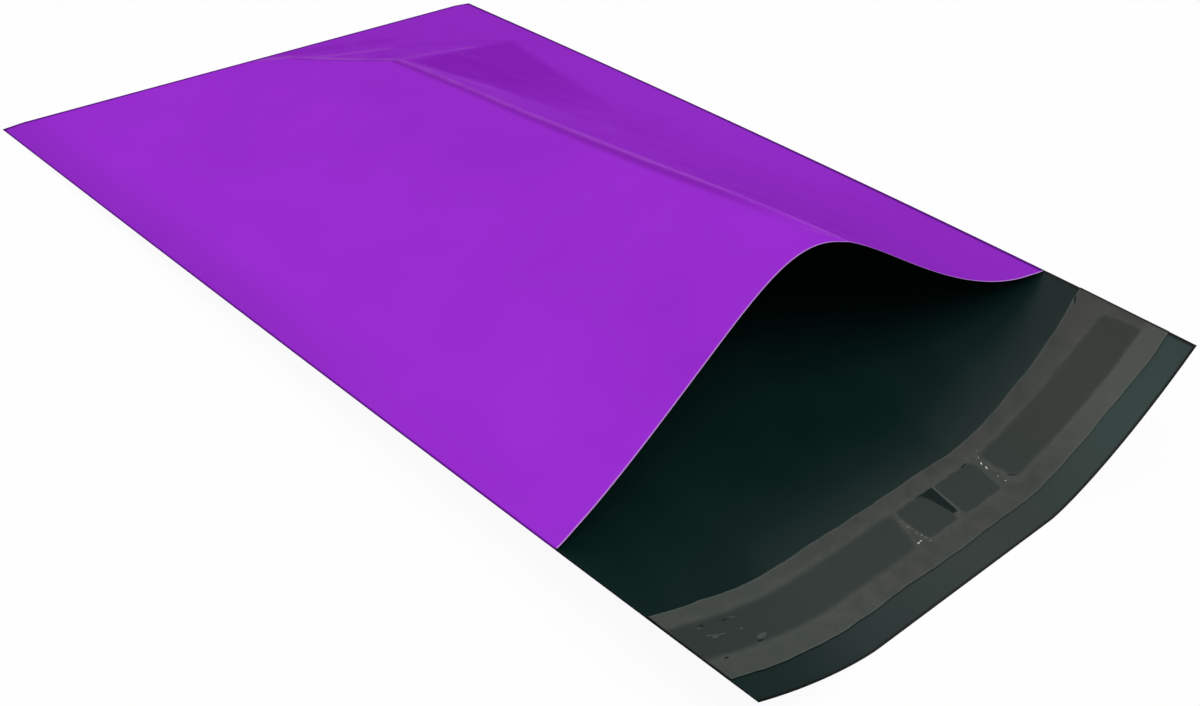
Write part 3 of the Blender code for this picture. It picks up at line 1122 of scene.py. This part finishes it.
frost = add_node(
    tree,
    "ShaderNodeTexNoise",
    {},
    {"Vector": place, "Scale": 1 / FROST_PATCH, "Detail": 7.0, "Roughness": 0.62},
)[0]
frost = within(tree, (frost, 0.70, 0.30))
milk = add_node(
    tree,
    "ShaderNodeMix",
    {"data_type": "RGBA"},
    {0: frost, 6: linear("#414843"), 7: linear("#4f504c")},
)[2]
to_cut = add_node(
    tree, "ShaderNodeAttribute", {"attribute_name": EDGE_NAME, "attribute_type": "GEOMETRY"}, {}
)[2]
rightward = (across, 0.2050, 0.1550)
warmer = within(tree, (across, 0.2280, 0.1950))
leftward = within(tree, (across, 0.0300, 0.1000))
outer = within(tree, (along, -0.3515, -0.3485), rightward)
olive = add_node(
    tree,
    "ShaderNodeMath",
    {"operation": "MULTIPLY"},
    {0: contact, 1: within(tree, rightward)},
)[0]
# painted highlight along the liner's cut edges
cut = within(tree, (to_cut, 0.0003, 0.0008))
flush_end = within(tree, (across, 0.0003, 0.0009), (to_right, 0.0003, 0.0009), join="MAXIMUM")
colour = coated(
    tree,
    milk,
    (
        (warmer, "#565350", 0.45),
        (outer, "#61655e", 0.6),
        (leftward, "#555d58", 0.4),
        (tented, "#616863", 0.15),
        (contact, "#3d4541", 1.0),
        (olive, "#4a4d42", 0.6),
        (cut, "#717b76", 0.15),
        (flush_end, "#1f2423", 0.9),
        (dark, "#0a1b18", 1.0),
        (glint, "#53605b", 0.8),
        (blisters, "#dfe3df", 1.0),
    ),
)

# %% Sheen and transparency of the liner
FREE_OPACITY, WETTED_OPACITY = 0.78, 0.62
FROST_HEIGHT = 0.00003

opacity = add_node(
    tree,
    "ShaderNodeMapRange",
    {},
    {"Value": contact, "To Min": FREE_OPACITY, "To Max": WETTED_OPACITY},
)[0]
for share in (dark, blisters):
    opacity = add_node(tree, "ShaderNodeMath", {"operation": "MAXIMUM"}, {0: opacity, 1: share})[0]
bump = add_node(
    tree, "ShaderNodeBump", {}, {"Height": frost, "Distance": FROST_HEIGHT, "Strength": 1.0}
)[0]
fill(tree, shader, {"Base Color": colour, "Alpha": opacity, "Normal": bump})
fill(tree, shader, {"Roughness": 0.5, "IOR": 1.49, "Specular IOR Level": 0.15})
print("liner:", len(tree.nodes), "nodes")

# %% The liner
LINER_COLUMNS, LINER_ROWS = 150, 16

liner = strip(
    "release_liner_strip",
    LINER_COLUMNS,
    LINER_ROWS,
    ((0.0, 0.0), (1.0, 1.0)),
    (liner_flap_edge, liner_mouth_edge),
    liner_lift,
    LINER_THICKNESS,
    (liner_film,),
)
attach(liner, "root")
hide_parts("release_liner")

# %% [markdown]
# ## Table, light and camera
#
# The photograph was taken on a white sweep in flat studio light. The table is a large pale
# plane, a little below the bag so that the two don't meet. To the camera it shows as nearly
# pure white and keeps only a soft shadow.

# %% Table
TABLE_REACH, TABLE_DROP = 4, 0.0002
TABLE_WHITENESS = 0.94

table = bmesh.new()
bmesh.ops.create_grid(table, x_segments=1, y_segments=1, size=TABLE_REACH)
bmesh.ops.translate(table, verts=table.verts, vec=(0, 0, -TABLE_DROP))
table_mesh = bpy.data.meshes.new("table")
table.to_mesh(table_mesh)
table.free()
table_top = bpy.data.objects.new("table", table_mesh)
bpy.context.scene.collection.objects.link(table_top)

paper = bpy.data.materials.new("white_sweep_paper")
paper.use_nodes = True
tree = paper.node_tree
shader = tree.nodes["Principled BSDF"]
fill(tree, shader, {"Base Color": linear("#eeeeee"), "Roughness": 0.9, "Specular IOR Level": 0.1})
rays = add_node(tree, "ShaderNodeLightPath", {}, {})
seen = rays["Is Camera Ray"]
for kind in ("Is Glossy Ray", "Is Transmission Ray"):
    seen = add_node(tree, "ShaderNodeMath", {"operation": "MAXIMUM"}, {0: seen, 1: rays[kind]})[0]
seen = add_node(
    tree, "ShaderNodeMath", {"operation": "MULTIPLY"}, {0: seen, 1: TABLE_WHITENESS}
)[0]
white = add_node(tree, "ShaderNodeEmission", {}, {"Color": (1, 1, 1, 1), "Strength": 1.0})[0]
both = add_node(tree, "ShaderNodeMixShader", {}, {0: seen, 1: shader.outputs[0], 2: white})[0]
tree.links.new(both, tree.nodes["Material Output"].inputs["Surface"])
table_mesh.materials.append(paper)
print("table:", 2 * TABLE_REACH, "m wide")

# %% [markdown]
# The light is a white surround that is dim at the horizon and even from 40 degrees up. One
# large soft lamp stands high in front of the mouth, a little to the left. It lights the flap
# and reaches into the bag, where it leaves a soft gradient. The camera sees the surround as
# plain white.

# %% Surround
SURROUND_LIGHT = 0.66
HORIZON_LIGHT = 0.08
DIM_BELOW, EVEN_ABOVE = 0.05, 0.65

world = bpy.data.worlds.new("white_studio")
world.use_nodes = True
bpy.context.scene.world = world
tree = world.node_tree
direction = add_node(tree, "ShaderNodeTexCoord", {}, {})["Generated"]
height = add_node(tree, "ShaderNodeSeparateXYZ", {}, {0: direction})[2]
glow = add_node(
    tree,
    "ShaderNodeMapRange",
    {"interpolation_type": "SMOOTHSTEP"},
    {
        "Value": height,
        "From Min": DIM_BELOW,
        "From Max": EVEN_ABOVE,
        "To Min": HORIZON_LIGHT,
        "To Max": SURROUND_LIGHT,
    },
)[0]
to_camera = add_node(tree, "ShaderNodeLightPath", {}, {})["Is Camera Ray"]
strength = add_node(
    tree, "ShaderNodeMix", {"data_type": "FLOAT"}, {0: to_camera, 2: glow, 3: 1.0}
)[0]
fill(tree, tree.nodes["Background"], {"Color": (1, 1, 1, 1), "Strength": strength})
print("surround light:", HORIZON_LIGHT, "at the horizon and", SURROUND_LIGHT, "above")

# %% Lamp
LAMP_PLACE = Vector((-0.5, -1.3, 2.5))
LAMP_SIZE, LAMP_POWER = 1.8, 42

light = bpy.data.lights.new("key_lamp", "AREA")
light.shape = "SQUARE"
light.size = LAMP_SIZE
light.energy = LAMP_POWER
lamp = bpy.data.objects.new("key_lamp", light)
lamp.location = LAMP_PLACE
lamp.rotation_euler = (-LAMP_PLACE).to_track_quat("-Z", "Y").to_euler()
bpy.context.scene.collection.objects.link(lamp)
print("lamp:", round(LAMP_PLACE.length, 2), "m away")

# %% [markdown]
# The camera stands low over the left front corner of the flap, turned a little on its own axis.
# Its place, direction and focal length were worked out from where the corners of the bag fall in
# the photograph.

# %% Camera
CAMERA_PLACE = (-0.3713, -0.3260, 0.3276)
CAMERA_TURN = (53.525, -8.245, -44.656)
CAMERA_LENS = 49.91
SENSOR_WIDTH = 36

lens = bpy.data.cameras.new("camera")
lens.lens = CAMERA_LENS
lens.sensor_width = SENSOR_WIDTH
camera = bpy.data.objects.new("camera", lens)
camera.location = CAMERA_PLACE
camera.rotation_euler = [math.radians(angle) for angle in CAMERA_TURN]
bpy.context.scene.collection.objects.link(camera)
bpy.context.scene.camera = camera
bpy.context.scene.view_settings.view_transform = "Standard"
print("camera:", round(camera.location.length, 3), "m from the middle of the bag")
